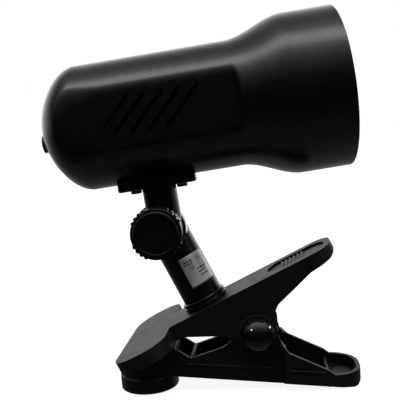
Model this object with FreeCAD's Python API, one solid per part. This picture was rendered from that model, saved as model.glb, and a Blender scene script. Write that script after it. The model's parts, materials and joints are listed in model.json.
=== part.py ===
import FreeCAD, Part
import os, math

# Clip-on reading lamp.  Millimetres, +X towards the lamp's mouth and the
# clip's handles, -Y the knob side, +Z up, Z = 0 the table.
# Origin: centre of the foot's bottom face.

# ---------------------------------------------------------------- dimensions
PITCH = 5.28             # head axis above level
SLOPE = 24.5             # upper jaw plate above level; the stem stands square on it
HINGE = (60.4, 29.7)     # clip pin, X and Z
SWIVEL = 5.0             # how far the stem is turned on its own axis at rest
JAW_AT = (32.4, 43.3)    # origin of the upper-jaw frame, on the plate's top face
STEM_X = 1.65            # stem axis in that frame
STEM_LEN = 45.8          # plate to tilt pivot
PIVOT_SET = 3.7          # the pivot is this far behind the stem's and the neck's axes

# shade (local x = along the axis, rim at 0, mouth towards +x)
R_MOUTH = 41.15          # outside radius of the mouth
MOUTH_LEN = 25.0         # straight front ring
FLARE_LEN = 30.7         # from the ring down to the round body
R_BODY = 32.4            # outside radius of the body
FLAT_Y = 28.8            # pressed flats on its two sides
FLAT_X = -56.2           # where they begin behind the rim
DOME_START = 133.8       # where the rear dome begins behind the rim
DOME_DEPTH = 22.0
DOME_POWER = 1.73        # 2 would be an ellipse
T_SHADE = 0.5            # sheet thickness
VENT_N, VENT_PITCH, VENT_W, VENT_L = 5, 8.65, 2.1, 23.6
VENT_X, VENT_Z = -115.4, 1.1
PIVOT_BACK = 104.4       # tilt pivot behind the rim
PIVOT_DOWN = 58.9        # tilt pivot below the head axis
BRACKET = PIVOT_BACK - PIVOT_SET   # bracket and neck behind the rim

# head bracket
PLATE_L, PLATE_W, PLATE_T = 40.6, 27.0, 4.75
PLATE_TOP = 31.5         # its upper edges below the head axis
NECK_D = 18.0
LUG_R, LUG_T = 12.8, 11.0
SCREW_X = 12.25          # bracket screws either side of the neck

# stem
STEM_D, STEM_BORE = 21.4, 8.0
STEM_LUG_R = 14.0
COLLAR_D, COLLAR_H = 23.8, 4.2
LABEL_Z, LABEL_L, LABEL_A0, LABEL_A1 = 11.2, 16.7, -100.0, -20.0
SPIGOT_D = 15.0
KNOB_D, KNOB_T = 26.0, 12.0
KNOB_FACE_D = 22.8
STUD_D = 5.0

# clip
JAW_W = 30.0             # over the upper jaw's cheeks
CHEEK = 2.1
PLATE = 2.4
PADDLE_W, PADDLE_X0, PADDLE_X1 = 80.0, -47.7, -19.0
SKIRT = 7.2
TIP_X = 73.9
LOW_W, LOW_T = 25.2, 2.0
TUB_W, TUB_X = 35.0, 71.8   # the lower handle is wider than its jaw from here back
FOOT_D, FOOT_H = 31.0, 8.0
PIN_D = 4.0
BOSS_R = 10.2
CAP_R = 8.7

GAP = 0.3                # between neighbours that only face each other
V = FreeCAD.Vector
os.makedirs("parts", exist_ok=True)


def box(x0, x1, y0, y1, z0, z1):
    return Part.makeBox(x1 - x0, y1 - y0, z1 - z0, V(x0, y0, z0))


def cyl(r, p, d, length):
    return Part.makeCylinder(r, length, V(*p), V(*d))


def tube(ro, ri, p, d, length):
    return cyl(ro, p, d, length).cut(cyl(ri, p, d, length))


def poly_y(pts, y0, y1):
    """Side profile (x, z) swept along Y."""
    w = Part.makePolygon([V(x, y0, z) for x, z in pts] + [V(pts[0][0], y0, pts[0][1])])
    return Part.Face(w).extrude(V(0, y1 - y0, 0))


def revolve_x(pts):
    """Profile (x, r) turned about the X axis."""
    w = Part.makePolygon([V(x, 0, r) for x, r in pts] + [V(pts[0][0], 0, pts[0][1])])
    return Part.Face(w).revolve(V(0, 0, 0), V(1, 0, 0), 360)


def rounded_plan(x0, x1, half, r0, r1, z0, z1):
    """Plan outline with corner radius r0 at x0 and r1 at x1."""
    def arc(cx, cy, r, a0, a1):
        p = [V(cx + r * math.cos(math.radians(a)), cy + r * math.sin(math.radians(a)), z0)
             for a in (a0, (a0 + a1) / 2.0, a1)]
        return Part.Arc(*p).toShape()
    e = [arc(x1 - r1, -half + r1, r1, -90, 0), arc(x1 - r1, half - r1, r1, 0, 90),
         arc(x0 + r0, half - r0, r0, 90, 180), arc(x0 + r0, -half + r0, r0, 180, 270)]
    out = []
    for i, a in enumerate(e):
        out.append(a)
        p, q = a.valueAt(a.LastParameter), e[(i + 1) % 4].valueAt(e[(i + 1) % 4].FirstParameter)
        if p.distanceToPoint(q) > 1e-6:
            out.append(Part.makeLine(p, q))
    w = Part.Wire(Part.__sortEdges__(out))
    return Part.Face(w).extrude(V(0, 0, z1 - z0))


def body_profile(t):
    """Wire (x, r) of the shade's outline set in by t, closed along the axis."""
    def off(x, r, dx, dr):
        n = math.hypot(dx, dr)
        return V(x + t * dr / n * -1.0, 0, r + t * dx / n)

    flare, n = [], 12
    for i in range(n + 1):
        u = i / n
        dr = -6 * (u - u * u) * (R_MOUTH - R_BODY) / FLARE_LEN
        flare.append(off(-MOUTH_LEN - FLARE_LEN * u, R_MOUTH - (R_MOUTH - R_BODY) * (3 * u * u - 2 * u ** 3), -1.0, dr))
    dome, n, e = [], 14, 2.0 / DOME_POWER
    for i in range(n + 1):
        a = math.pi / 2 * (i / n) ** 1.15
        c, k = max(math.cos(a), 1e-9), math.sin(a)
        if i == 0:
            d = (-1.0, 0.0)
        elif i == n:
            d = (0.0, -1.0)
        else:
            d = (-DOME_DEPTH * k ** (e - 1) * c, -R_BODY * c ** (e - 1) * k)
        dome.append(off(-DOME_START - DOME_DEPTH * k ** e, R_BODY * c ** e, *d))
    dome[-1] = V(dome[-1].x, 0, 0)
    f = Part.BSplineCurve()
    f.interpolate(Points=flare, InitialTangent=V(-1, 0, 0), FinalTangent=V(-1, 0, 0))
    g = Part.BSplineCurve()
    g.interpolate(Points=dome, InitialTangent=V(-1, 0, 0), FinalTangent=V(0, 0, -1))
    x1 = 1.0 if t else 0.0
    return Part.Wire([Part.makeLine(V(x1, 0, 0), V(x1, 0, R_MOUTH - t)), Part.makeLine(V(x1, 0, R_MOUTH - t), flare[0]),
                      f.toShape(), Part.makeLine(flare[-1], dome[0]), g.toShape(), Part.makeLine(dome[-1], V(x1, 0, 0))])


def shade_body(t):
    """Solid bounded by the shade's outline set in by t: round, with the two flats."""
    s = Part.Face(body_profile(t)).revolve(V(0, 0, 0), V(1, 0, 0), 360)
    y, x = FLAT_Y - t, FLAT_X + 0.6 * t
    plan = [(-170.0, y), (x, y), (x + 1.4, y + 0.9), (x + 4.4, y + 4.9), (x + 4.4, 50.0), (-170.0, 50.0)]
    f = Part.Face(Part.makePolygon([V(a, b, -45) for a, b in plan + plan[:1]]))
    k = f.extrude(V(0, 0, 90))
    return s.cut(k).cut(k.mirror(V(0, 0, 0), V(0, 1, 0)))


def bead(r_path, r_sec, p, d):
    return Part.makeTorus(r_path, r_sec, V(*p), V(*d))


def swivel(s):
    """Turns everything above the clip about the stem's axis."""
    s = s.copy()
    a = math.radians(SLOPE)
    s.rotate(V(JAW_AT[0] + STEM_X * math.cos(a), 0, JAW_AT[1] + STEM_X * math.sin(a)), V(-math.sin(a), 0, math.cos(a)), SWIVEL)
    return s


def head(s):
    s = s.copy()
    s.rotate(V(0, 0, 0), V(0, 1, 0), -PITCH)
    c, k = math.cos(math.radians(PITCH)), math.sin(math.radians(PITCH))
    px, pz = pivot()
    s.translate(V(px + PIVOT_BACK * c - PIVOT_DOWN * k, 0, pz + PIVOT_BACK * k + PIVOT_DOWN * c))
    return swivel(s)


def jaw(s):
    """Upper-jaw frame: x along the plate, z square to it."""
    s = s.copy()
    s.rotate(V(0, 0, 0), V(0, 1, 0), -SLOPE)
    s.translate(V(JAW_AT[0], 0, JAW_AT[1]))
    return s


def stem(s):
    """Stem frame: z up the stem's axis from the plate."""
    s = s.copy()
    s.translate(V(STEM_X, 0, 0))
    return swivel(jaw(s))


def pivot():
    a, x = math.radians(SLOPE), STEM_X - PIVOT_SET
    return (JAW_AT[0] + x * math.cos(a) - STEM_LEN * math.sin(a), JAW_AT[1] + x * math.sin(a) + STEM_LEN * math.cos(a))


def hinge_in_jaw():
    a = math.radians(SLOPE)
    dx, dz = HINGE[0] - JAW_AT[0], HINGE[1] - JAW_AT[1]
    return (dx * math.cos(a) + dz * math.sin(a), -dx * math.sin(a) + dz * math.cos(a))


def plate_z(x):
    """Height of the jaw plate's top face over X."""
    return JAW_AT[1] + math.tan(math.radians(SLOPE)) * (x - JAW_AT[0])


def save(name, s):
    s.exportStep("parts/" + name + ".step")


HX, HZ = HINGE

# ================================================================= lower jaw
per = 1.0 / math.cos(math.radians(SLOPE))
UPPER_PAD_OUT = 1.0                      # how far the upper pad stands below its skirt
pad_face = (SKIRT + UPPER_PAD_OUT + 0.36) * per    # below the plate's top face, upright
LOW_PAD_T = 2.6


def low_face(x, extra=0.0):
    return plate_z(x) - pad_face - extra * per


wedge = [(-16.0, FOOT_H), (17.0, FOOT_H), (17.0, low_face(17.0, LOW_PAD_T)), (-16.0, low_face(-16.0, LOW_PAD_T))]
front = poly_y(wedge, -20, 20).common(cyl(13.9, (0, 0, FOOT_H), (0, 0, 1), 40))
prof = [(6.0, FOOT_H), (15.0, 8.55), (60.0, 4.05), (100.5, 0.0), (111.5, 0.0), (111.5, 8.7), (103.5, 8.9), (94.6, 9.8),
        (75.3, 20.0), (71.4, 25.0), (69.5, 33.0), (51.5, 33.0), (46.1, 25.9), (41.8, 22.9), (24.8, 17.7),
        (16.0, low_face(16.0, LOW_PAD_T)), (6.0, low_face(6.0, LOW_PAD_T))]
body = poly_y(prof, -LOW_W / 2, LOW_W / 2)
end_r = LOW_W / 2 - 0.05
body = body.common(rounded_plan(0.0, 111.5, LOW_W / 2, 5.0, end_r, -1, 50))
body = body.fuse(cyl(9.7, (HX, -LOW_W / 2, HZ), (0, 1, 0), LOW_W))
trough = poly_y([(26.0, 9.45), (60.0, 6.05), (101.0, 2.0), (112.0, 2.0), (112.0, 60.0), (26.0, 60.0)],
                -LOW_W / 2 + LOW_T, LOW_W / 2 - LOW_T)
trough = trough.common(rounded_plan(25.0, 111.5 - LOW_T, LOW_W / 2 - LOW_T, 3.0, end_r - LOW_T, 0, 70))
tub = poly_y([(TUB_X, 2.87), (100.5, 0.0), (111.5, 0.0), (111.5, 7.8), (97.6, 8.0), (94.6, 10.4), (75.3, 20.0), (TUB_X, 24.4)],
             -TUB_W / 2, TUB_W / 2)
tub = tub.common(rounded_plan(TUB_X, 111.5, TUB_W / 2, 3.0, 14.5, -1, 50))
for sgn in (-1, 1):
    y1, y0 = sgn * (TUB_W / 2 + 0.1), sgn * 13.0
    for x, z, run in ((60.0, 4.05, V(60, 0, -6.0)), (95.0, 0.0, V(20, 0, 0))):
        w = Part.makePolygon([V(x, y0, z - 0.15), V(x, y1, z - 0.15), V(x, y1, z + 1.6), V(x, y0, z - 0.15)])
        tub = tub.cut(Part.Face(w).extrude(run))
tub = tub.cut(poly_y([(111.6, -0.1), (111.6, 1.8), (109.4, -0.1)], -20, 20))
hollow = poly_y([(60.0, 6.05), (101.0, 2.0), (112.0, 2.0), (112.0, 60.0), (60.0, 60.0)], -TUB_W / 2 + LOW_T, TUB_W / 2 - LOW_T)
hollow = hollow.common(rounded_plan(TUB_X + LOW_T, 111.5 - LOW_T, TUB_W / 2 - LOW_T, 1.5, 12.5, 0, 70))
body = body.common(box(0, TUB_X + 1.0, -30, 30, -5, 60))
low = front.fuse(body).fuse(tub).cut(trough.common(box(0, TUB_X + 3.0, -30, 30, -5, 80))).cut(hollow)
# cross rib and the raised rest in the handle's tub
low = low.fuse(box(93.9, 95.2, -TUB_W / 2 + 1.0, TUB_W / 2 - 1.0, 1.6, 6.6))
rest = rounded_plan(97.6, 107.2, 7.6, 4.7, 4.7, 1.0, 3.2)
low = low.fuse(rest)
# ridge along both flanks
for sgn in (-1, 1):
    y0 = sgn * LOW_W / 2
    rib = poly_y([(22.0, 15.3), (22.0, 14.2), (71.0, 9.8), (71.0, 10.9)], min(y0, y0 + sgn * 0.25), max(y0, y0 + sgn * 0.25))
    low = low.fuse(rib)
    y0 = sgn * TUB_W / 2
    rib = poly_y([(75.0, 11.3), (75.0, 10.2), (93.0, 8.6), (93.0, 9.7)], min(y0, y0 + sgn * 0.25), max(y0, y0 + sgn * 0.25))
    low = low.fuse(rib)
# inner bosses that carry the pin and locate the coil
for sgn in (-1, 1):
    y0 = sgn * (LOW_W / 2 - LOW_T)
    low = low.fuse(cyl(3.6, (HX, min(y0, y0 - sgn * 1.6), HZ), (0, 1, 0), 1.6))
low = low.cut(cyl(PIN_D / 2 + 0.05, (HX, -20, HZ), (0, 1, 0), 40))
# seat for the lower spring leg
low = low.fuse(box(27.0, 30.0, -6.0, 6.0, 8.6, 10.9).cut(cyl(0.95, (28.5, -4.6, 11.4), (0, 1, 0), 9.2)))
low = low.cut(cyl(1.6, (0, 0, FOOT_H - 1), (0, 0, 1), 5.5))
low = low.cut(box(16.8, 24.3, -LOW_W / 2 + LOW_T, LOW_W / 2 - LOW_T, 12.0, 60.0))    # pocket behind the front block
low = low.removeSplitter()
save("lower_jaw", low)

foot = cyl(FOOT_D / 2, (0, 0, 0), (0, 0, 1), FOOT_H)
foot = foot.makeFillet(1.2, [e for e in foot.Edges if abs(e.CenterOfMass.z) < 1e-6 and len(e.Vertexes) == 1])
foot = foot.makeFillet(0.5, [e for e in foot.Edges if abs(e.CenterOfMass.z - FOOT_H) < 1e-6])
foot = foot.fuse(cyl(1.55, (0, 0, FOOT_H - 0.5), (0, 0, 1), 4.4)).removeSplitter()
save("foot_pad", foot)

lp = poly_y([(-16.0, low_face(-16.0, LOW_PAD_T)), (16.2, low_face(16.2, LOW_PAD_T)),
             (16.2, low_face(16.2)), (-16.0, low_face(-16.0))], -16, 16)
lp = lp.common(cyl(14.4, (0, 0, 0), (0, 0, 1), 60))
groove = None
for gx in (-9.0, -4.5, 0.0, 4.5, 9.0):
    g = poly_y([(gx - 0.7, low_face(gx - 0.7) + 1), (gx - 0.7, low_face(gx - 0.7) - 0.6),
                (gx + 0.7, low_face(gx + 0.7) - 0.6), (gx + 0.7, low_face(gx + 0.7) + 1)], -16, 16)
    lp = lp.cut(g)
save("lower_grip_pad", lp)

# ------------------------------------------------------------- hinge hardware
pin = cyl(PIN_D / 2, (HX, -16.4, HZ), (0, 1, 0), 32.8)
save("hinge_pin", pin)


def dome_cap(sgn):
    """Press-on dome: its skirt rests on the cheek's boss."""
    y0, h = 16.25, 5.2
    R = (CAP_R ** 2 + h ** 2) / (2 * h)
    ball = Part.makeSphere(R, V(HX, y0 + h - R + 1.0, HZ))
    s = ball.common(cyl(CAP_R, (HX, y0, HZ), (0, 1, 0), 12.0))
    s = s.cut(cyl(PIN_D / 2, (HX, y0 - 1, HZ), (0, 1, 0), 1.15))
    return s if sgn > 0 else s.mirror(V(0, 0, 0), V(0, 1, 0))


save("hinge_cap_far", dome_cap(1))
save("hinge_cap_near", dome_cap(-1))


# ---------------------------------------------------------------- torsion spring
def wire_path(pts, r):
    """Round wire through points, with ball joints at the bends."""
    s = None
    for p, q in zip(pts[:-1], pts[1:]):
        d = V(q[0] - p[0], q[1] - p[1], q[2] - p[2])
        c = Part.makeCylinder(r, d.Length, V(*p), d)
        s = c if s is None else s.fuse(c)
    for p in pts[1:-1]:
        s = s.fuse(Part.makeSphere(r, V(*p)))
    return s


SP_R, SP_W = 5.6, 0.8    # coil mean radius, wire radius


def coil(y0, y1):
    turns = (y1 - y0) / 2.0
    h = Part.makeHelix(2.0, y1 - y0, SP_R)
    prof_w = Part.Wire([Part.Circle(V(SP_R, 0, 0), V(0, 1, 0), SP_W).toShape()])
    s = Part.Wire(h.Edges).makePipeShell([prof_w], True, True)
    s.rotate(V(0, 0, 0), V(1, 0, 0), -90)
    s.translate(V(HX, y0, HZ))
    return s


sl = coil(-7.0, 3.0)
sl = sl.fuse(wire_path([(HX - SP_R, -7.0, HZ), (HX - SP_R, -7.0, HZ - 1.0), (29.0, -7.0, 12.2), (29.0, -3.0, 12.2)], SP_W))
sl = sl.fuse(wire_path([(HX + SP_R, -7.0, HZ), (HX, -7.0, HZ - SP_R), (HX - SP_R, -7.0, HZ - 1.0)], SP_W))
save("spring_lower", sl.removeSplitter())

# upper half: one closed turn and the leg that bears under the jaw plate
ring = Part.makeTorus(SP_R, SP_W, V(HX, 6.0, HZ), V(0, 1, 0))
hj = hinge_in_jaw()
leg = wire_path([(hj[0] - 1.0, 6.0, hj[1] + SP_R), (-2.0, 6.0, -13.6), (-10.5, 6.0, -8.25), (-12.2, 6.0, -8.9)], SP_W)
su = ring.fuse(jaw(leg))
save("spring_upper", su.removeSplitter())

# ================================================================= upper jaw
paddle = rounded_plan(PADDLE_X0, PADDLE_X1, PADDLE_W / 2, 13.0, 12.0, -SKIRT, 0.0)
cheek_prof = [(-30.0, 0.0), (-30.0, -SKIRT), (-14.5, -8.1), (2.8, -16.3), (5.3, -19.3), (9.5, -24.0),
              (hj[0] + 6.0, hj[1] - 8.0), (27.2, -31.0), (30.1, -24.4), (33.5, -16.9), (36.2, -14.8), (47.8, -11.2), (58.0, -7.9), (64.4, -7.2),
              (69.9, -6.4), (72.3, -5.2), (TIP_X, -3.6), (TIP_X, 0.0)]
rail = poly_y(cheek_prof, -JAW_W / 2, JAW_W / 2)
rail = rail.fuse(cyl(BOSS_R, (hj[0], -JAW_W / 2, hj[1]), (0, 1, 0), JAW_W))
plan = rounded_plan(-30.0, TIP_X, JAW_W / 2, 2.0, 11.0, -60, 1)
rail = rail.common(plan)
up = paddle.fuse(rail)
inner = rounded_plan(-28.0, TIP_X - CHEEK, JAW_W / 2 - CHEEK, 2.0, 9.0, -60, -PLATE)
up = up.cut(inner)
up = up.cut(rounded_plan(PADDLE_X0 + 2.0, PADDLE_X1 - 2.0, PADDLE_W / 2 - 2.0, 11.0, 10.0, -60, -PLATE))
# keep the paddle's rear wall inside the rail clear of the lower jaw
# boss rings outside
for sgn in (-1, 1):
    y0 = sgn * JAW_W / 2
    up = up.fuse(cyl(BOSS_R, (hj[0], min(y0, y0 + sgn * 1.0), hj[1]), (0, 1, 0), 1.0))
up = up.cut(cyl(PIN_D / 2 + 0.06, (hj[0], -30, hj[1]), (0, 1, 0), 60))
# stiffening ribs inside and the spring's seat
for rx in (38.0, 50.0, 60.0):
    up = up.fuse(box(rx, rx + 1.4, -JAW_W / 2 + 1.0, JAW_W / 2 - 1.0, -5.4, -PLATE + 0.4))
up = up.fuse(box(-13.5, -9.0, 3.5, 8.5, -7.4, -PLATE + 0.4))
# thumb recess with finger ribs
recess = rounded_plan(37.7, 70.4, 9.2, 9.1, 9.1, -1.1, 1.0)
up = up.cut(recess)
for i in range(6):
    cx = 46.0 + 2.3 * i
    up = up.fuse(box(cx, cx + 0.9, -6.4, 6.4, -1.6, -0.2))
# bearing for the stem's spigot
up = up.fuse(cyl(12.2, (STEM_X, 0, -5.2), (0, 0, 1), 4.0))
up = up.cut(cyl(SPIGOT_D / 2 + 0.08, (STEM_X, 0, -9), (0, 0, 1), 12))
up = up.removeSplitter()
save("upper_jaw", jaw(up))

ug = rounded_plan(PADDLE_X0 + 2.15, PADDLE_X1 - 2.15, PADDLE_W / 2 - 2.15, 10.8, 9.8, -SKIRT - UPPER_PAD_OUT, -PLATE)
for i in range(5):
    gx = PADDLE_X0 + 5.4 + 4.5 * i
    ug = ug.cut(box(gx, gx + 1.4, -45, 45, -SKIRT - UPPER_PAD_OUT - 1, -SKIRT - UPPER_PAD_OUT + 0.6))
save("upper_grip_pad", jaw(ug))

# ====================================================================== stem
# local frame: the jaw's, z up the stem
st = cyl(STEM_D / 2, (0, 0, 0.35), (0, 0, 1), STEM_LEN - 3.0)
st = st.cut(cyl(15.0, (-PIVOT_SET, -20, STEM_LEN), (0, 1, 0), 40).common(box(5.5, 20, -20, 20, STEM_LEN - 8, STEM_LEN + 8)))
st = st.fuse(cyl(STEM_LUG_R, (-PIVOT_SET, 0.15, STEM_LEN), (0, 1, 0), LUG_T - 0.15))
st = st.cut(cyl(LUG_R + 0.5, (-PIVOT_SET, -20, STEM_LEN), (0, 1, 0), 20.15))
st = st.cut(box(-20, 20, -20, 0.15, STEM_LEN - 2, STEM_LEN + 30))
st = st.fuse(cyl(SPIGOT_D / 2, (0, 0, -7.4), (0, 0, 1), 8.0))
st = st.cut(tube(SPIGOT_D / 2 + 1, SPIGOT_D / 2 - 0.9, (0, 0, -6.5), (0, 0, 1), 1.2))
st = st.cut(cyl(STEM_BORE / 2, (0, 0, -9), (0, 0, 1), STEM_LEN - 8.5))
st = st.cut(cyl(STUD_D / 2 + 0.06, (-PIVOT_SET, -1, STEM_LEN), (0, 1, 0), 20))
st = st.cut(Part.Face(Part.makePolygon([V(-PIVOT_SET + 4.12 / math.cos(math.pi / 6) * math.cos(math.pi / 3 * i), LUG_T - 3.6,
                                          STEM_LEN + 4.12 / math.cos(math.pi / 6) * math.sin(math.pi / 3 * i))
                                        for i in range(7)])).extrude(V(0, 4, 0)))
save("stem_tube", stem(st.removeSplitter()))

col = cyl(COLLAR_D / 2, (0, 0, 0.35), (0, 0, 1), COLLAR_H)
col = col.makeFillet(0.6, [e for e in col.Edges if abs(e.CenterOfMass.z - 0.35 - COLLAR_H) < 1e-6])
col = col.cut(tube(COLLAR_D, COLLAR_D / 2 - 0.45, (0, 0, 0.35 + 1.7), (0, 0, 1), 0.6))
col = col.cut(cyl(STEM_D / 2 + 0.02, (0, 0, -1), (0, 0, 1), 12))
save("stem_collar", stem(col))

nut = Part.Face(Part.makePolygon([V(-PIVOT_SET + 4.0 / math.cos(math.pi / 6) * math.cos(math.pi / 3 * i), LUG_T - 3.6,
                                    STEM_LEN + 4.0 / math.cos(math.pi / 6) * math.sin(math.pi / 3 * i))
                                  for i in range(7)])).extrude(V(0, 3.4, 0))
nut = nut.cut(cyl(STUD_D / 2 + 0.06, (-PIVOT_SET, -1, STEM_LEN), (0, 1, 0), 20))
save("tilt_nut", stem(nut))

# foil label wrapped on the knob-side front of the tube
lab = tube(STEM_D / 2 + 0.12, STEM_D / 2, (0, 0, LABEL_Z), (0, 0, 1), LABEL_L)
a0, a1 = LABEL_A0, LABEL_A1
sect = Part.makePolygon([V(0, 0, 5)] + [V(20 * math.cos(math.radians(a)), 20 * math.sin(math.radians(a)), 5)
                                        for a in (a0, (a0 + a1) / 2, a1)] + [V(0, 0, 5)])
lab = lab.common(Part.Face(sect).extrude(V(0, 0, 35)))
save("stem_label", stem(lab))

# split washer that holds the spigot under the jaw plate
clip = tube(10.4, SPIGOT_D / 2 - 0.85, (0, 0, -6.45), (0, 0, 1), 1.1)
clip = clip.cut(box(0, 14, -2.6, 2.6, -8, -4))
save("stem_clip", stem(clip))

# ================================================================ head bracket
# local frame: the head's
zb = -PLATE_TOP
hb = rounded_plan(-BRACKET - PLATE_L / 2, -BRACKET + PLATE_L / 2, PLATE_W / 2, 4.0, 4.0, zb - PLATE_T, zb)
hb = hb.makeFillet(1.0, [e for e in hb.Edges if abs(e.CenterOfMass.z - (zb - PLATE_T)) < 1e-6])
hb = hb.cut(cyl(R_BODY + 0.01, (-BRACKET - 40, 0, 0), (1, 0, 0), 80))
neck_top = zb - PLATE_T + 0.5
hb = hb.fuse(cyl(NECK_D / 2, (-BRACKET, 0, -PIVOT_DOWN + 2.0), (0, 0, 1), neck_top + PIVOT_DOWN - 2.0))
hb = hb.cut(cyl(STEM_LUG_R + 0.5, (-PIVOT_BACK, -0.15, -PIVOT_DOWN), (0, 1, 0), 30))
hb = hb.fuse(cyl(LUG_R, (-PIVOT_BACK, -LUG_T, -PIVOT_DOWN), (0, 1, 0), LUG_T - 0.15))
hb = hb.cut(cyl(STUD_D / 2 + 0.06, (-PIVOT_BACK, -20, -PIVOT_DOWN), (0, 1, 0), 40))
hb = hb.cut(cyl(3.5, (-BRACKET, 2.5, -PIVOT_DOWN + STEM_LUG_R), (0, 0, 1), 30))
for sx in (-SCREW_X, SCREW_X):
    hb = hb.cut(cyl(1.6, (-BRACKET + sx, 0, zb - 10), (0, 0, 1), 20))
save("head_bracket", head(hb.removeSplitter()))

for nm, sx in (("bracket_screw_rear", -SCREW_X), ("bracket_screw_front", SCREW_X)):
    x = -BRACKET + sx
    s = cyl(2.9, (x, 0, zb - PLATE_T - 2.0), (0, 0, 1), 2.0)
    s = s.makeFillet(0.8, [e for e in s.Edges if abs(e.CenterOfMass.z - (zb - PLATE_T - 2.0)) < 1e-6])
    s = s.cut(box(x - 2.0, x + 2.0, -0.4, 0.4, zb - PLATE_T - 2.5, zb - PLATE_T - 1.1))
    s = s.cut(box(x - 0.4, x + 0.4, -2.0, 2.0, zb - PLATE_T - 2.5, zb - PLATE_T - 1.1))
    s = s.fuse(cyl(1.5, (x, 0, zb - PLATE_T - 0.1), (0, 0, 1), PLATE_T + T_SHADE + 3.6))
    save(nm, head(s.removeSplitter()))

# ====================================================================== shade
sh = shade_body(0.0).cut(shade_body(T_SHADE))
sh = sh.fuse(bead(R_MOUTH - 0.55, 0.75, (-0.75, 0, 0), (1, 0, 0)).cut(cyl(60, (0, 0, 0), (1, 0, 0), 5)))
for i in range(VENT_N):
    cx = VENT_X + VENT_PITCH * i
    slot = box(-VENT_L / 2, VENT_L / 2, -60, 60, -VENT_W / 2, VENT_W / 2)
    slot = slot.fuse(cyl(VENT_W / 2, (-VENT_L / 2, -60, 0), (0, 1, 0), 120))
    slot = slot.fuse(cyl(VENT_W / 2, (VENT_L / 2, -60, 0), (0, 1, 0), 120))
    slot.rotate(V(0, 0, 0), V(0, 1, 0), -45)
    slot.translate(V(cx, 0, VENT_Z))
    sh = sh.cut(slot)
GROM_Z, GROM_R = -4.8, 4.6
sh = sh.cut(cyl(GROM_R, (-170, 0, GROM_Z), (1, 0, 0), 30))
for sx in (-SCREW_X, SCREW_X):
    sh = sh.cut(cyl(1.6, (-BRACKET + sx, 0, zb - 10), (0, 0, 1), 20))
sh = sh.cut(cyl(4.2, (-BRACKET, 2.5, zb - 10), (0, 0, 1), 20))
save("lamp_shade", head(sh))

xg = -DOME_START - DOME_DEPTH
gr = cyl(GROM_R - 0.05, (xg - 0.9, 0, GROM_Z), (1, 0, 0), 6.0)
gr = gr.fuse(cyl(6.2, (xg + 3.7, 0, GROM_Z), (1, 0, 0), 1.4))
gr = gr.cut(cyl(3.2, (xg - 5, 0, GROM_Z), (1, 0, 0), 20))
save("rear_grommet", head(gr))

# ================================================================ lamp holder
XH = -74.0               # mouth of the holder
zi = -R_BODY + T_SHADE   # inside the tube's bottom
hbk = poly_y([(-BRACKET - 17.0, zi - 1.0), (-BRACKET + 17.0, zi - 1.0), (-BRACKET + 17.0, zi + 2.6),
              (-BRACKET - 15.6, zi + 2.6), (-BRACKET - 15.6, 14.0), (-BRACKET - 17.0, 14.0)], -9.0, 9.0)
hbk = hbk.common(cyl(R_BODY - T_SHADE - 0.01, (-BRACKET - 20, 0, 0), (1, 0, 0), 40))
hbk = hbk.cut(cyl(5.2, (-BRACKET - 25, 0, 0), (1, 0, 0), 20))
hbk = hbk.cut(cyl(4.6, (-BRACKET, 2.5, zi - 2), (0, 0, 1), 8))
for sx in (-SCREW_X, SCREW_X):
    hbk = hbk.cut(cyl(1.5, (-BRACKET + sx, 0, zb - 10), (0, 0, 1), 20))
save("holder_bracket", head(hbk))

x_back = -BRACKET - 15.6
hold = revolve_x([(x_back, 0.0), (x_back, 15.0), (x_back + 12.0, 18.0), (x_back + 20.0, 19.5), (XH, 19.5), (XH, 0.0)])
hold = hold.cut(cyl(15.2, (x_back + 9.0, 0, 0), (1, 0, 0), 60))
hold = hold.cut(cyl(1.7, (x_back - 1, 0, 0), (1, 0, 0), 12))
hold = hold.cut(box(x_back - 1, x_back + 9.5, 3.0, 5.6, -2.6, 2.6))
save("holder_body", head(hold))

shell = tube(15.0, 14.1, (x_back + 13.0, 0, 0), (1, 0, 0), 24.0)
for i in range(5):
    shell = shell.fuse(bead(14.15, 0.42, (x_back + 16.0 + 4.2 * i, 0, 0), (1, 0, 0)))
save("holder_shell", head(shell.removeSplitter()))

tongue = cyl(4.2, (x_back + 9.05, 0, 0), (1, 0, 0), 1.4).fuse(cyl(1.6, (x_back + 0.5, 0, 0), (1, 0, 0), 9.0))
save("holder_contact_centre", head(tongue))

side = box(x_back + 9.05, x_back + 12.9, 11.0, 14.6, -2.5, 2.5).cut(box(x_back + 10.0, x_back + 14, 10.0, 13.6, -3, 3))
side = side.fuse(box(x_back + 1.0, x_back + 9.03, 3.05, 5.5, -2.5, 2.5).fuse(box(x_back + 8.6, x_back + 10.0, 5.4, 14.0, -2.5, 2.5).cut(
    cyl(5.0, (x_back + 9.0, 0, 0), (1, 0, 0), 5))))
side = side.cut(box(x_back + 0.5, x_back + 9.04, 5.5, 20, -3, 3))
save("holder_contact_side", head(side.removeSplitter()))

tb = box(-BRACKET - 34.0, -BRACKET - 17.3, -10.0, 10.0, -9.0, 5.0)
for sy in (-5.0, 5.0):
    tb = tb.cut(cyl(2.4, (-BRACKET - 29.5, sy, 1.0), (0, 0, 1), 6))
    tb = tb.cut(cyl(2.0, (-BRACKET - 40, sy, -3.0), (1, 0, 0), 12))
save("terminal_block", head(tb))
for nm, sy in (("terminal_screw_a", -5.0), ("terminal_screw_b", 5.0)):
    s = cyl(2.25, (-BRACKET - 29.5, sy, 1.1), (0, 0, 1), 2.8).cut(box(-BRACKET - 32.5, -BRACKET - 26.5, sy - 0.35, sy + 0.35, 3.0, 4.5))
    save(nm, head(s))

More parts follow.
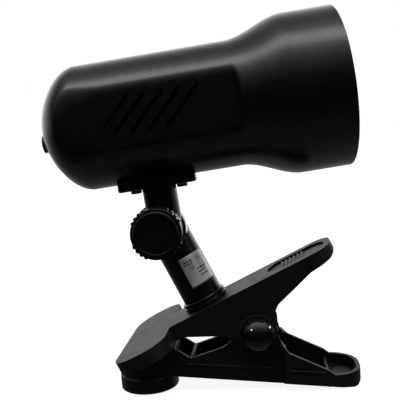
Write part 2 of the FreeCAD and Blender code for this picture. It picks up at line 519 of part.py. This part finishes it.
# ====================================================================== bulb
X0 = x_back + 10.6       # tip of the bulb's contact
GLASS_T = 0.9
env = [(26.0, 12.6), (33.0, 13.6), (45.0, 15.5), (56.0, 20.5), (66.0, 26.5), (76.0, 30.6), (83.0, 31.4),
       (89.0, 30.2), (93.5, 25.5), (96.3, 16.0), (97.2, 6.0), (97.3, 0.0)]
lin = [(26.0, 12.6 - GLASS_T), (33.0, 13.6 - GLASS_T), (45.2, 15.5 - GLASS_T), (56.5, 20.5 - GLASS_T), (66.4, 26.5 - GLASS_T),
       (76.2, 30.6 - GLASS_T), (82.8, 31.4 - GLASS_T), (88.4, 29.4), (92.7, 24.9), (95.4, 15.7), (96.3, 6.0), (96.4, 0.0)]
glass = [(X0 + x, r) for x, r in env] + [(X0 + x, r) for x, r in reversed(lin)]
save("bulb_glass", head(revolve_x(glass)))
cap = cyl(13.0, (X0 + 3.4, 0, 0), (1, 0, 0), 22.6)
cap = cap.cut(cyl(12.3, (X0 + 3.9, 0, 0), (1, 0, 0), 30))
for i in range(4):
    cap = cap.fuse(bead(12.95, 0.4, (X0 + 9.2 + 4.0 * i, 0, 0), (1, 0, 0)))
cap = cap.cut(cyl(6.0, (X0 + 2, 0, 0), (1, 0, 0), 3))
save("bulb_cap", head(cap.removeSplitter()))
ins = Part.makeCone(4.9, 12.2, 2.5, V(X0 + 0.9, 0, 0), V(1, 0, 0)).common(cyl(9.0, (X0, 0, 0), (1, 0, 0), 9)).fuse(
    cyl(6.0, (X0 + 3.3, 0, 0), (1, 0, 0), 1.4)).cut(cyl(3.0, (X0 - 1, 0, 0), (1, 0, 0), 8))
save("bulb_insulator", head(ins.removeSplitter()))
tip = cyl(4.7, (X0, 0, 0), (1, 0, 0), 0.9).fuse(cyl(3.0, (X0 + 0.8, 0, 0), (1, 0, 0), 1.4))
save("bulb_contact", head(tip.removeSplitter()))

# ====================================================================== knob
# built about the pivot: local x, z round the pivot, y outward is negative
PX, PZ = pivot()


def at_pivot(s):
    s = s.copy()
    s.translate(V(PX, 0, PZ))
    return swivel(s)


yf = -LUG_T - 1.0 - KNOB_T
kn = cyl(KNOB_D / 2, (0, yf + 2.2, 0), (0, 1, 0), KNOB_T - 2.2)
kn = kn.makeFillet(0.8, [e for e in kn.Edges if abs(e.CenterOfMass.y - yf - 2.2) < 1e-6])
face = cyl(KNOB_FACE_D / 2, (0, yf, 0), (0, 1, 0), 4.0)
face = face.makeFillet(0.8, [e for e in face.Edges if abs(e.CenterOfMass.y - yf) < 1e-6])
kn = kn.fuse(face)
kn = kn.cut(cyl(KNOB_FACE_D / 2 - 1.5, (0, yf - 1, 0), (0, 1, 0), 1.7))
for q in range(4):
    for j in range(4):
        a = math.radians(45 + 90 * q + (j - 1.5) * 12.0)
        kn = kn.fuse(cyl(0.95, ((KNOB_D / 2 - 0.25) * math.cos(a), yf + 3.2, (KNOB_D / 2 - 0.25) * math.sin(a)), (0, 1, 0), KNOB_T - 3.2))
kn = kn.cut(cyl(STUD_D / 2, (0, yf + 4.0, 0), (0, 1, 0), 20))
save("tilt_knob", at_pivot(kn.removeSplitter()))
save("knob_stud", at_pivot(cyl(STUD_D / 2, (0, yf + 4.0, 0), (0, 1, 0), -yf - 4.0 + LUG_T - 0.6)))
save("knob_washer", at_pivot(tube(6.0, STUD_D / 2 + 0.06, (0, -LUG_T - 0.95, 0), (0, 1, 0), 0.85)))
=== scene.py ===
import bpy, bmesh, json, math
from mathutils import Vector, Matrix


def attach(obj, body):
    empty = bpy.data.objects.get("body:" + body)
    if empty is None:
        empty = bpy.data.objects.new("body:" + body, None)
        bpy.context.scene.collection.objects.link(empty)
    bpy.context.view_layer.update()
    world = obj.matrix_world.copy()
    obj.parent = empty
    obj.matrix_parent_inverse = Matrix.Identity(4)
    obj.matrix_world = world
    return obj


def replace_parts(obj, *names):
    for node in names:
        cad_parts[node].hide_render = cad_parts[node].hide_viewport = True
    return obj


# Clip-on reading lamp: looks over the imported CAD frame. Metres, CAD row frame.
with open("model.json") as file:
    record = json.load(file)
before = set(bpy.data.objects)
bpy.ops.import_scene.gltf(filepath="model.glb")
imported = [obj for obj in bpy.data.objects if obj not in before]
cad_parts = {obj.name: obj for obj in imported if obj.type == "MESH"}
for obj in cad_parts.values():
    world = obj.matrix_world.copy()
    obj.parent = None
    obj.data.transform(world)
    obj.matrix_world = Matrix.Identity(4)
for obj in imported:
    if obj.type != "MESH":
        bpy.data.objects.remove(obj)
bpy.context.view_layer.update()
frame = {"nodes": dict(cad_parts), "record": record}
scene = bpy.context.scene
node = frame["nodes"]
MM = 0.001

# ------------------------------------------------------------------ camera
CAM_PSI, CAM_EL, CAM_ROLL = math.radians(-5.93), math.radians(5.5), math.radians(-4.24)
CAM_AT, CAM_LENS, CAM_SENSOR = (0.0692, -0.3367, 0.1311), 58.5, 36.0


def place_camera():
    right = Vector((math.cos(CAM_PSI), -math.sin(CAM_PSI), 0))
    look = Vector((math.sin(CAM_PSI) * math.cos(CAM_EL), math.cos(CAM_PSI) * math.cos(CAM_EL), -math.sin(CAM_EL)))
    up = right.cross(look)
    r2 = right * math.cos(CAM_ROLL) + up * math.sin(CAM_ROLL)
    u2 = up * math.cos(CAM_ROLL) - right * math.sin(CAM_ROLL)
    cam = bpy.data.objects.new("Camera", bpy.data.cameras.new("Camera"))
    scene.collection.objects.link(cam)
    cam.matrix_world = Matrix((
        (r2.x, u2.x, -look.x, CAM_AT[0]),
        (r2.y, u2.y, -look.y, CAM_AT[1]),
        (r2.z, u2.z, -look.z, CAM_AT[2]),
        (0, 0, 0, 1)))
    cam.data.lens, cam.data.sensor_width = CAM_LENS, CAM_SENSOR
    cam.data.clip_start, cam.data.clip_end = 0.01, 50.0
    scene.camera = cam


place_camera()

# ------------------------------------------------------------------ materials
EDGE = 0.35 * MM         # how round the moulded and pressed edges look


class Shader:
    """A Principled material with a few shorthands for procedural nodes."""

    def __init__(self, name, base, rough, metal=0.0, spec=0.5):
        self.slot = name            # Blender may number the material's own name
        self.m = bpy.data.materials.new(name)
        self.m.use_nodes = True
        self.t = self.m.node_tree
        self.t.nodes.clear()
        self.b = self.t.nodes.new("ShaderNodeBsdfPrincipled")
        out = self.t.nodes.new("ShaderNodeOutputMaterial")
        self.t.links.new(self.b.outputs[0], out.inputs[0])
        i = self.b.inputs
        i["Base Color"].default_value = (*base, 1)
        i["Roughness"].default_value = rough
        i["Metallic"].default_value = metal
        i["Specular IOR Level"].default_value = spec
        self.m.diffuse_color = (*base, 1)
        self.height = None

    def n(self, kind, **inputs):
        """A node; inputs by name, or i0, i1 ... by number."""
        x = self.t.nodes.new(kind)
        for k, v in inputs.items():
            s = x.inputs[int(k[1:])] if k[0] == "i" and k[1:].isdigit() else x.inputs[k]
            if isinstance(v, bpy.types.NodeSocket):
                self.t.links.new(v, s)
            else:
                s.default_value = v
        return x

    def coord(self, scale=(1, 1, 1)):
        c = self.n("ShaderNodeTexCoord")
        m = self.n("ShaderNodeMapping", Vector=c.outputs["Object"])
        m.inputs["Scale"].default_value = scale
        return m.outputs[0]

    def noise(self, mm, detail=2.0, rough=0.5, vec=None):
        """Noise with features about mm millimetres across."""
        x = self.n("ShaderNodeTexNoise", Vector=vec or self.coord(), Scale=1000.0 / mm,
                   Detail=detail, Roughness=rough)
        return x.outputs["Fac"]

    def math(self, op, a, b):
        x = self.n("ShaderNodeMath", i0=a, i1=b)
        x.operation = op
        return x.outputs[0]

    def remap(self, v, a, b, c, d):
        x = self.n("ShaderNodeMapRange", Value=v)
        for k, q in zip(("From Min", "From Max", "To Min", "To Max"), (a, b, c, d)):
            x.inputs[k].default_value = q
        return x.outputs[0]

    def mix(self, f, a, b):
        """Colour from a to b by the socket f."""
        x = self.n("ShaderNodeMix")
        x.data_type = "RGBA"
        self.t.links.new(f, x.inputs[0])
        x.inputs[6].default_value = (*a, 1)
        x.inputs[7].default_value = (*b, 1)
        return x.outputs[2]

    def bump(self, h, depth_mm, edge=True):
        """Add relief from h; the first call also rounds the edges unless edge is False."""
        x = self.n("ShaderNodeBump", Height=h, Distance=depth_mm * MM, Strength=1.0)
        if self.height is None and edge:
            e = self.n("ShaderNodeBevel", Radius=EDGE)
            e.samples = 6
            self.height = e.outputs[0]
        if self.height is not None:
            self.t.links.new(self.height, x.inputs["Normal"])
        self.height = x.outputs[0]
        self.t.links.new(self.height, self.b.inputs["Normal"])

    def rough(self, v):
        self.t.links.new(v, self.b.inputs["Roughness"])

    def colour(self, v):
        self.t.links.new(v, self.b.inputs["Base Color"])


def moulded(name, base, rough, spread=0.06, grain=0.35, depth=0.006, wave=9.0, wave_depth=0.01,
            spec=0.5, dust=0.0015, edge=True):
    """Moulded or painted surface: fine grain, slow waviness, patchy gloss and a little dust tone."""
    s = Shader(name, base, rough, spec=spec)
    slow = s.noise(wave, 2.0)
    fine = s.noise(grain, 1.0)
    patch = s.noise(2.6, 4.0, 0.62)
    both = s.math("ADD", s.math("MULTIPLY", slow, 0.5), s.math("MULTIPLY", patch, 0.5))
    s.rough(s.remap(both, 0.3, 0.7, rough - spread, rough + spread))
    s.colour(s.mix(s.remap(patch, 0.35, 0.75, 0.0, 1.0), base, tuple(c + dust for c in base)))
    s.bump(slow, wave_depth, edge=edge)
    s.bump(fine, depth, edge=edge)
    return s


def metal(name, base, rough, spread=0.08, streak=(1, 1, 1), tone=0.1, depth=0.002):
    """Bare metal: grain that can be streaked, and a slow change of tone."""
    s = Shader(name, base, rough, metal=1.0)
    g = s.noise(0.5, 3.0, 0.6, s.coord(streak))
    p = s.noise(5.0, 3.0)
    s.rough(s.remap(g, 0.25, 0.75, rough - spread, rough + spread))
    s.colour(s.mix(s.remap(p, 0.3, 0.7, 0.0, 1.0), base, tuple(c * (1 - tone) for c in base)))
    s.bump(g, depth)
    return s


def glass():
    """Frosted white of the bulb's face."""
    s = Shader("bulb_glass", (0.86, 0.86, 0.84), 0.32)
    s.b.inputs["Transmission Weight"].default_value = 0.55
    s.b.inputs["IOR"].default_value = 1.5
    s.bump(s.noise(0.3, 2.0), 0.01)
    return s


made = (
    moulded("shade_paint", (0.0032, 0.0032, 0.0034), 0.27, 0.02, grain=0.45, depth=0.004,
            wave=14.0, wave_depth=0.02, spec=0.42, dust=0.0008, edge=False),
    moulded("clip_plastic", (0.0034, 0.0034, 0.0036), 0.58, grain=0.32, depth=0.008,
            wave=8.0, wave_depth=0.02, spec=0.3),
    moulded("knob_plastic", (0.0016, 0.0016, 0.0018), 0.36, grain=0.3, depth=0.007, spec=0.28),
    moulded("stem_plastic", (0.0028, 0.0028, 0.003), 0.22, 0.05, grain=0.3, depth=0.003,
            wave=10.0, wave_depth=0.015),
    moulded("cap_plastic", (0.003, 0.003, 0.0032), 0.1, 0.03, grain=0.3, depth=0.0008,
            wave=6.0, wave_depth=0.004),
    moulded("foot_rubber", (0.0045, 0.0045, 0.0047), 0.42, grain=0.25, depth=0.008, spec=0.4),
    moulded("grip_rubber", (0.005, 0.005, 0.005), 0.6, grain=0.25, depth=0.012, spec=0.35),
    moulded("grommet_rubber", (0.01, 0.01, 0.01), 0.55, grain=0.25, depth=0.01, spec=0.35),
    moulded("holder_plastic", (0.014, 0.012, 0.011), 0.36),
    moulded("terminal_plastic", (0.62, 0.61, 0.56), 0.5, dust=0.02),
    moulded("bulb_insulator", (0.012, 0.012, 0.02), 0.15, 0.05),
    metal("steel", (0.55, 0.55, 0.56), 0.3),
    metal("spring_steel", (0.5, 0.5, 0.52), 0.24, streak=(1, 0.2, 1)),
    metal("screw_steel", (0.24, 0.24, 0.25), 0.34),
    metal("brass", (0.72, 0.53, 0.24), 0.28),
    metal("bulb_aluminium", (0.75, 0.75, 0.76), 0.3),
    metal("bulb_solder", (0.6, 0.6, 0.6), 0.35),
    metal("label_foil", (0.95, 0.95, 0.94), 0.42, 0.14, streak=(0.25, 1, 2.2), tone=0.3, depth=0.004),
    glass(),
)
shaders = {s.slot: s for s in made}
shaders["label_foil"].b.inputs["Metallic"].default_value = 0.45

slot_of = {p["node"]: p["material_slot"] for p in frame["record"]["subparts"]}
for name, ob in node.items():
    ob.data.materials.clear()
    ob.data.materials.append(shaders[slot_of[name]].m)

# ------------------------------------------------------------------ frames of the stem and head
# Stem: z up its axis from the clip's plate. Head: x along its axis, 0 at the rim. Millimetres.
SLOPE, SWIVEL, STEM_X, JAW_AT = math.radians(24.5), math.radians(5.0), 1.65, (32.4, 43.3)
PITCH, SET, STEM_LEN = math.radians(5.28), 3.7, 45.8
PIVOT_BACK, PIVOT_DOWN = 104.4, 58.9
BRACKET = PIVOT_BACK - SET

tilt = Matrix.Translation((JAW_AT[0], 0, JAW_AT[1])) @ Matrix.Rotation(-SLOPE, 4, "Y")
foot_pt = tilt @ Vector((STEM_X, 0, 0))
axis = (tilt.to_3x3() @ Vector((0, 0, 1))).normalized()
turn = Matrix.Translation(foot_pt) @ Matrix.Rotation(SWIVEL, 4, axis) @ Matrix.Translation(-foot_pt)
stem_m = Matrix.Scale(MM, 4) @ turn @ tilt @ Matrix.Translation((STEM_X, 0, 0))
pivot = tilt @ Vector((STEM_X - SET, 0, STEM_LEN))
head_m = (Matrix.Scale(MM, 4) @ turn @ Matrix.Translation(pivot) @ Matrix.Rotation(-PITCH, 4, "Y")
          @ Matrix.Translation((PIVOT_BACK, 0, PIVOT_DOWN)))


def link_mesh(name, bm, body, mat, smooth=True):
    me = bpy.data.meshes.new(name)
    bm.normal_update()
    bm.to_mesh(me)
    bm.free()
    for f in me.polygons:
        f.use_smooth = smooth
    o = bpy.data.objects.new(name, me)
    scene.collection.objects.link(o)
    me.materials.append(mat)
    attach(o, body)
    return o


def circle(n, r, cx=0.0, cy=0.0):
    """n points round a circle."""
    return [(cx + r * math.cos(math.tau * i / n), cy + r * math.sin(math.tau * i / n)) for i in range(n)]


# ------------------------------------------------------------------ foil label
LABEL = (-100.0, -20.0, 11.2, 27.9)     # from and to angle, from and to height
STEM_R, FOIL_T = 10.7, 0.10
INK_R, INK_T = 10.808, 0.012            # the ink lies just off the foil


def wrap(bm, a0, a1, z0, z1, r, thick, na, nz):
    """A thin rectangle wrapped on the stem: angles in degrees, heights and radii in mm."""
    outer, inner = [], []
    for i in range(na + 1):
        a = math.radians(a0 + (a1 - a0) * i / na)
        co, ci = [], []
        for j in range(nz + 1):
            z = z0 + (z1 - z0) * j / nz
            for lst, rr in ((co, r + thick), (ci, r)):
                lst.append(bm.verts.new(stem_m @ Vector((rr * math.cos(a), rr * math.sin(a), z))))
        outer.append(co)
        inner.append(ci)
    for i in range(na):
        for j in range(nz):
            bm.faces.new((outer[i][j], outer[i + 1][j], outer[i + 1][j + 1], outer[i][j + 1]))
            bm.faces.new((inner[i][j], inner[i][j + 1], inner[i + 1][j + 1], inner[i + 1][j]))
    for j in range(nz):
        bm.faces.new((outer[0][j], outer[0][j + 1], inner[0][j + 1], inner[0][j]))
        bm.faces.new((outer[na][j + 1], outer[na][j], inner[na][j], inner[na][j + 1]))
    for i in range(na):
        bm.faces.new((outer[i + 1][0], outer[i][0], inner[i][0], inner[i + 1][0]))
        bm.faces.new((outer[i][nz], outer[i + 1][nz], inner[i + 1][nz], inner[i][nz]))


bm = bmesh.new()
wrap(bm, *LABEL, STEM_R, FOIL_T, 48, 20)
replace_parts(link_mesh("label_foil", bm, "stem", shaders["label_foil"].m), "stem_label")

# Plain printed marks with no lettering: rows of short bars, two framed blocks and a ring.
DEG, BAR_H, BAR_GAP = 2.6, 0.8, 2.4     # a bar's unit of length and the gap, in degrees
ROWS = ((24.6, -90, (3, 2, 3)), (23.2, -90, (2, 3, 2)), (19.0, -62, (2, 4, 2)),
        (17.2, -62, (3, 2, 2)), (15.2, -60, (2, 2, 4)))
BLOCKS = ((-84.0, 20.2), (-52.0, 23.4))
FRAME = ((0, 16, 0, 0.22), (0, 16, 2.0, 2.22), (0, 1.2, 0.22, 2.0), (14.8, 16, 0.22, 2.0), (4, 12, 0.8, 1.3))
RING_AT, RING_R, RING_N = (-42, 20.4), (10.6, 2.0), 20
DOT = (1.0, 0.16)

ink = Shader("label_ink", (0.02, 0.02, 0.022), 0.5)
ink.rough(ink.remap(ink.noise(0.4, 2.0), 0.3, 0.7, 0.42, 0.6))
bm = bmesh.new()
for z, a, run in ROWS:
    for units in run:
        wrap(bm, a, a + units * DEG, z, z + BAR_H, INK_R, INK_T, 2 * units, 1)
        a += units * DEG + BAR_GAP
for a, z in BLOCKS:
    for q0, q1, w0, w1 in FRAME:
        wrap(bm, a + q0, a + q1, z + w0, z + w1, INK_R, INK_T, 6, 1)
for i in range(RING_N):
    a = RING_AT[0] + RING_R[0] * math.cos(math.tau * i / RING_N)
    z = RING_AT[1] + RING_R[1] * math.sin(math.tau * i / RING_N)
    wrap(bm, a - DOT[0], a + DOT[0], z - DOT[1], z + DOT[1], INK_R, INK_T, 1, 1)
link_mesh("label_marks", bm, "stem", ink.m, smooth=False)

# ------------------------------------------------------------------ shade
R_MOUTH, MOUTH_LEN, FLARE_LEN, R_BODY = 41.15, 25.0, 30.7, 32.4
DOME_START, DOME_DEPTH, DOME_E, SHEET = 133.8, 22.0, 2.0 / 1.73, 0.5
FLAT_Y, FLAT_X, FLAT_RUN = 28.8, -55.2, 9.0     # side flats: half width, front end, run-out
RIM_X, POLE_R, AROUND = -0.9, 0.4, 224          # end of the rolled rim, smallest ring, points per ring
VENT_N, VENT_X, VENT_Z, VENT_PITCH = 5, -115.4, 1.1, 8.65
VENT_HALF, VENT_R = 11.8, 1.05                  # straight half length and end radius
INLET_Z, INLET_R, SCREW_X = -4.8, 4.6, 12.25


def smooth(t):
    t = min(1.0, max(0.0, t))
    return t * t * (3 - 2 * t)


def soft_min(a, b, k):
    h = max(k - abs(a - b), 0.0) / k
    return min(a, b) - h * h * k * 0.25


def outline():
    """Stations along the shade from the rim back: (x, r)."""
    pts = [(RIM_X - (MOUTH_LEN + RIM_X) * i / 12, R_MOUTH) for i in range(13)]
    pts += [(-MOUTH_LEN - FLARE_LEN * i / 40, R_MOUTH - (R_MOUTH - R_BODY) * smooth(i / 40)) for i in range(1, 41)]
    x0 = -MOUTH_LEN - FLARE_LEN
    pts += [(x0 + (-DOME_START - x0) * i / 50, R_BODY) for i in range(1, 51)]
    for i in range(1, 41):
        a = math.pi / 2 * (i / 40) ** 1.1
        pts.append((-DOME_START - DOME_DEPTH * math.sin(a) ** DOME_E, R_BODY * max(math.cos(a), 0.0) ** DOME_E))
    return [p for p in pts if p[1] >= POLE_R]


def skin(x, r, a, t):
    """Radius of the sheet at angle a from +Y, set in by t; the flats fade out towards the flare."""
    flat = FLAT_Y + 16.0 * smooth((x - FLAT_X) / FLAT_RUN) ** 1.3
    c = abs(math.cos(a))
    rr = soft_min(r, flat / max(c, 0.05), 1.3 + 3.0 * smooth((-118.0 - x) / 24.0))
    return max(rr - t, 0.0)


def build_shade():
    """Closed thin sheet: inside from the tip forwards, round the rolled rim, back over the outside."""
    bm = bmesh.new()
    stations, rings = outline(), []

    def ring(x, radius):
        row = []
        for i in range(AROUND):
            a = math.tau * i / AROUND
            row.append(bm.verts.new(head_m @ Vector((x, radius(a) * math.cos(a), radius(a) * math.sin(a)))))
        rings.append(row)

    for x, r in reversed(stations):
        inset = SHEET if x < -DOME_START - 2 else SHEET * smooth((-DOME_START - x) / 4 + 0.5)
        ring(x + inset, lambda a: skin(x, r, a, SHEET))
    for deg in range(-150, 61, 30):
        b = math.radians(deg)
        ring(-0.75 + 0.75 * math.cos(b), lambda a: (R_MOUTH - 0.55) + 0.6 * math.sin(b))
    for x, r in stations:
        ring(x, lambda a: skin(x, r, a, 0.0))
    for p, q in zip(rings[:-1], rings[1:]):
        for i in range(AROUND):
            j = (i + 1) % AROUND
            bm.faces.new((p[i], p[j], q[j], q[i]))
    for row, inside in ((rings[0], True), (rings[-1], False)):
        c = bm.verts.new(head_m @ Vector((-DOME_START - DOME_DEPTH + (SHEET if inside else 0.0), 0, 0)))
        for i in range(AROUND):
            j = (i + 1) % AROUND
            bm.faces.new((c, row[j], row[i]) if inside else (c, row[i], row[j]))
    bmesh.ops.recalc_face_normals(bm, faces=bm.faces)
    return bm


def prism(bm, pts, d):
    """Closed prism in the head's frame from a ring of points, swept by d."""
    a = [bm.verts.new(head_m @ Vector(p)) for p in pts]
    b = [bm.verts.new(head_m @ (Vector(p) + Vector(d))) for p in pts]
    bm.faces.new(a)
    bm.faces.new(tuple(reversed(b)))
    for i in range(len(pts)):
        j = (i + 1) % len(pts)
        bm.faces.new((a[j], a[i], b[i], b[j]))


def cutters():
    """Slanted vents through both sides, the bracket's three holes and the inlet's hole."""
    bm = bmesh.new()
    for i in range(VENT_N):
        cx, pts = VENT_X + VENT_PITCH * i, []
        for j in range(20):
            a = -math.pi / 2 + math.pi * (j % 10) / 9 + (math.pi if j >= 10 else 0)
            u = (VENT_HALF if j < 10 else -VENT_HALF) + VENT_R * math.cos(a)
            w = VENT_R * math.sin(a)
            pts.append((cx + (u - w) * math.sqrt(0.5), -50, VENT_Z + (u + w) * math.sqrt(0.5)))
        prism(bm, pts, (0, 100, 0))
    for cx, cy, r in ((-BRACKET, 2.5, 4.2), (-BRACKET - SCREW_X, 0, 1.6), (-BRACKET + SCREW_X, 0, 1.6)):
        prism(bm, [(x, y, -45) for x, y in circle(32, r, cx, cy)], (0, 0, 30))
    prism(bm, [(-175, y, z) for y, z in circle(40, INLET_R, 0.0, INLET_Z)], (30, 0, 0))
    bmesh.ops.recalc_face_normals(bm, faces=bm.faces)
    me = bpy.data.meshes.new("cut")
    bm.to_mesh(me)
    bm.free()
    o = bpy.data.objects.new("cut", me)
    scene.collection.objects.link(o)
    return o


shade = link_mesh("shade_shell", build_shade(), "head", shaders["shade_paint"].m)
cut = cutters()
mod = shade.modifiers.new("cut", "BOOLEAN")
mod.operation, mod.solver, mod.object = "DIFFERENCE", "EXACT", cut
bpy.context.view_layer.update()
done = bpy.data.meshes.new_from_object(shade.evaluated_get(bpy.context.evaluated_depsgraph_get()))
shade.modifiers.clear()
shade.data = done
bpy.data.objects.remove(cut, do_unlink=True)
done.set_sharp_from_angle(angle=math.radians(32))
if not done.materials:
    done.materials.append(shaders["shade_paint"].m)
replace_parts(shade, "lamp_shade")

# ------------------------------------------------------------------ bulb
BULB_X = -BRACKET - 15.6 + 10.6         # tip of the bulb's contact along the head
GLASS_T, SILVER_TO, CURVE_STEPS = 0.9, 79.0, 7
# outer profile of the envelope: (distance from the contact's tip, radius)
ENVELOPE = ((26.0, 12.6), (33.0, 13.6), (45.0, 15.5), (56.0, 20.5), (66.0, 26.5), (76.0, 30.6),
            (83.0, 31.4), (89.0, 30.2), (93.5, 25.5), (96.3, 16.0), (97.2, 6.0), (97.3, 0.0))


def curve(pts, steps):
    """Catmull-Rom through (x, r) points."""
    out = []
    q = [pts[0], *pts, pts[-1]]
    for i in range(1, len(q) - 2):
        p0, p1, p2, p3 = q[i - 1:i + 3]
        for k in range(steps):
            t = k / steps
            out.append(tuple(0.5 * (2 * p1[c] + (p2[c] - p0[c]) * t
                                    + (2 * p0[c] - 5 * p1[c] + 4 * p2[c] - p3[c]) * t * t
                                    + (3 * p1[c] - p0[c] - 3 * p2[c] + p3[c]) * t ** 3) for c in (0, 1)))
    return out + [pts[-1]]


def lathe(bm, prof, n):
    """Closed profile (x, r) turned about the head's X axis; points on the axis become poles."""
    rings = []
    for x, r in prof:
        pts = circle(n, r) if r >= 1e-6 else [(0, 0)]
        rings.append([bm.verts.new(head_m @ Vector((x, y, z))) for y, z in pts])
    for p, q in zip(rings, rings[1:] + rings[:1]):
        for i in range(n):
            j = (i + 1) % n
            if len(p) > 1 and len(q) > 1:
                bm.faces.new((p[i], p[j], q[j], q[i]))
            elif len(p) > 1:
                bm.faces.new((p[i], p[j], q[0]))
            elif len(q) > 1:
                bm.faces.new((q[j], q[i], p[0]))
    bmesh.ops.recalc_face_normals(bm, faces=bm.faces)


outer = [(BULB_X + x, max(r, 0.0)) for x, r in curve(ENVELOPE, CURVE_STEPS)]
inner = [(x - (GLASS_T if r < 25 and x > BULB_X + 90 else 0.3), max(r - GLASS_T, 0.0)) for x, r in outer]
inner[-1] = (outer[-1][0] - GLASS_T, 0.0)
silver = Shader("bulb_silver", (0.86, 0.86, 0.86), 0.16, metal=1.0)
silver.rough(silver.remap(silver.noise(3.0, 3.0), 0.3, 0.7, 0.1, 0.24))
silver.bump(silver.noise(1.2, 2.0), 0.004, edge=False)
bm = bmesh.new()
lathe(bm, outer + list(reversed(inner)), 128)
bulb = link_mesh("bulb_envelope", bm, "bulb", shaders["bulb_glass"].m)
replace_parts(bulb, "bulb_glass")
bulb.data.materials.append(silver.m)
to_head = head_m.inverted()
for f in bulb.data.polygons:
    if (to_head @ f.center).x < BULB_X + SILVER_TO:
        f.material_index = 1

# ------------------------------------------------------------------ stage and light
bpy.ops.mesh.primitive_circle_add(vertices=96, radius=6.0, fill_type="NGON", location=(0.05, 0, 0))
floor = bpy.context.object
floor.name = "stage_floor"
fs = Shader("stage_floor", (0.3, 0.3, 0.3), 0.8, spec=0.0)
fs.b.inputs["Emission Color"].default_value = (1, 1, 1, 1)
fs.b.inputs["Emission Strength"].default_value = 0.9
floor.data.materials.append(fs.m)
floor.visible_glossy = False
floor.visible_diffuse = False

# White to the camera. What lights the object is a studio whose brightness follows the angle
# round the X axis, in degrees: 0 is the -Y horizon, 90 straight up, 180 the +Y horizon.
STOPS = ((-180, 0.40), (-166, 0.12), (-140, 0.06), (-90, 0.045), (-55, 0.03), (-25, 0.006), (-8, 0.003),
         (10, 0.006), (25, 0.03), (42, 0.12), (56, 0.30), (66, 0.50), (80, 0.50), (92, 0.28), (112, 0.10),
         (132, 0.16), (150, 0.42), (166, 0.62), (179, 0.58))
END_FROM, END_TO, STRENGTH_MID, STRENGTH_END = 0.5, 0.92, 3.2, 0.6     # weaker towards both ends of X

world = bpy.data.worlds.new("studio")
scene.world = world
world.use_nodes = True
wt = world.node_tree
wt.nodes.clear()


def wn(kind, *pairs, **attr):
    """A world node; pairs of (input, value or socket)."""
    x = wt.nodes.new(kind)
    for k, v in attr.items():
        setattr(x, k, v)
    for k, v in pairs:
        if isinstance(v, bpy.types.NodeSocket):
            wt.links.new(v, x.inputs[k])
        else:
            x.inputs[k].default_value = v
    return x


tc = wn("ShaderNodeTexCoord")
sep = wn("ShaderNodeSeparateXYZ", (0, tc.outputs["Generated"]))
ny = wn("ShaderNodeMath", (0, sep.outputs[1]), (1, -1.0), operation="MULTIPLY")
ang = wn("ShaderNodeMath", (0, sep.outputs[2]), (1, ny.outputs[0]), operation="ARCTAN2")
pos = wn("ShaderNodeMapRange", ("Value", ang.outputs[0]), ("From Min", -math.pi), ("From Max", math.pi))
ramp = wn("ShaderNodeValToRGB", (0, pos.outputs[0]))
stops = ramp.color_ramp.elements
while len(stops) < len(STOPS):
    stops.new(0.5)
for e, (deg, v) in zip(stops, STOPS):
    e.position = (deg + 180) / 360
    e.color = (v, v, v, 1)
ends = wn("ShaderNodeMath", (0, sep.outputs[0]), operation="ABSOLUTE")
fall = wn("ShaderNodeMapRange", ("Value", ends.outputs[0]), ("From Min", END_FROM), ("From Max", END_TO),
          ("To Min", STRENGTH_MID), ("To Max", STRENGTH_END))
lit = wn("ShaderNodeBackground", (0, ramp.outputs[0]), (1, fall.outputs[0]))
white = wn("ShaderNodeBackground", (0, (1, 1, 1, 1)), (1, 1.0))
path = wn("ShaderNodeLightPath")
mx = wn("ShaderNodeMixShader", (0, path.outputs["Is Camera Ray"]), (1, lit.outputs[0]), (2, white.outputs[0]))
wn("ShaderNodeOutputWorld", (0, mx.outputs[0]))
scene.view_settings.view_transform = "Standard"


def area(name, loc, aim, size, power):
    d = bpy.data.lights.new(name, "AREA")
    d.shape, d.size, d.size_y, d.energy = "RECTANGLE", size[0], size[1], power
    o = bpy.data.objects.new(name, d)
    scene.collection.objects.link(o)
    o.location = loc
    o.rotation_euler = (Vector(aim) - Vector(loc)).to_track_quat("-Z", "Y").to_euler()
    o.visible_camera = False
    return o


def only(light, mode, *objs):
    """INCLUDE: the light reaches only these objects. EXCLUDE: all but these."""
    c = bpy.data.collections.new(light.name + "_on")
    for o in objs:
        c.objects.link(o)
    light.light_linking.receiver_collection = c
    for entry in c.collection_objects:
        entry.light_linking.link_state = mode


# The pin caps take small highlights of their own in place of the soft box.
caps = [node["hinge_cap_near"], node["hinge_cap_far"]]
only(area("overhead", (0.02, -0.22, 0.95), (0.02, -0.01, 0.13), (1.3, 0.26), 3.8), "EXCLUDE", *caps)
only(area("spot_left", (-0.45, -0.5, 0.46), (0.05, 0, 0.05), (0.12, 0.09), 0.9), "INCLUDE", *caps)
only(area("spot_right", (0.75, 0.0, 0.36), (0.05, 0, 0.05), (0.12, 0.09), 1.0), "INCLUDE", *caps)
